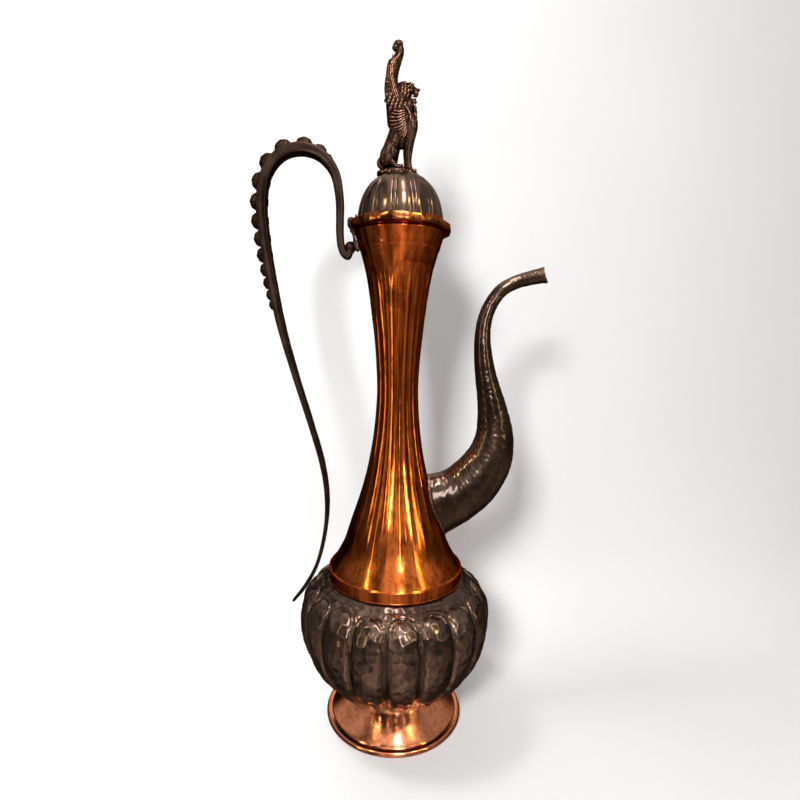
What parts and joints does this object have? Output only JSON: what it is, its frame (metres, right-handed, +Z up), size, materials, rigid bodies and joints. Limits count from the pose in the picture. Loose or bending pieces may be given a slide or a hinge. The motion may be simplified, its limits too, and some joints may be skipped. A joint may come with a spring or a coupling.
{
  "type": "copper water jug",
  "caption": "Tall copper ewer: lobed bowl on a flared foot, fluted trumpet neck, swan-neck spout, strip handle and hinged domed lid with a winged lion finial.",
  "frame": {"origin": "on the vertical axis of the vessel at the underside of the foot", "axes": "+Z up, +X towards the spout, -X towards the handle, Y across"},
  "size_m": [0.2611, 0.178, 0.6064],
  "materials": {
    "pink_copper": "polished copper, slightly pink",
    "polished_copper": "polished copper with a warm orange lacquer",
    "patina_copper": "dark brown patina over hammered copper, semi-gloss",
    "cast_bronze": "dark antiqued casting, satin",
    "antique_copper": "dark antiqued casting with bright worn high points",
    "iron_wire": "plain drawn wire, hidden in the foot's curl",
    "steel_screw": "plain steel fastener"
  },
  "bodies": {
    "vessel": {"foot": "pink_copper", "foot_rim_wire": "iron_wire", "bowl": "patina_copper", "skirt_band": "polished_copper", "neck": "polished_copper", "mouth_collar": "polished_copper", "spout": "patina_copper", "handle": "cast_bronze", "handle_lug": "cast_bronze", "hinge_leaf_neck": "cast_bronze", "hinge_pin": "cast_bronze"},
    "lid": {"hinge_leaf_lid": "cast_bronze", "lid_dome": "patina_copper", "lid_rim": "polished_copper", "lid_bezel": "polished_copper", "finial_lion": "antique_copper", "finial_screw": "steel_screw", "finial_washer": "steel_screw"}
  },
  "joints": [
    {"name": "lid_hinge", "type": "hinge", "parent": "vessel", "child": "lid", "pos_m": [-0.0423, 0, 0.4563], "axis": [0, -1, 0], "range_deg": [0, 33]}
  ]
}
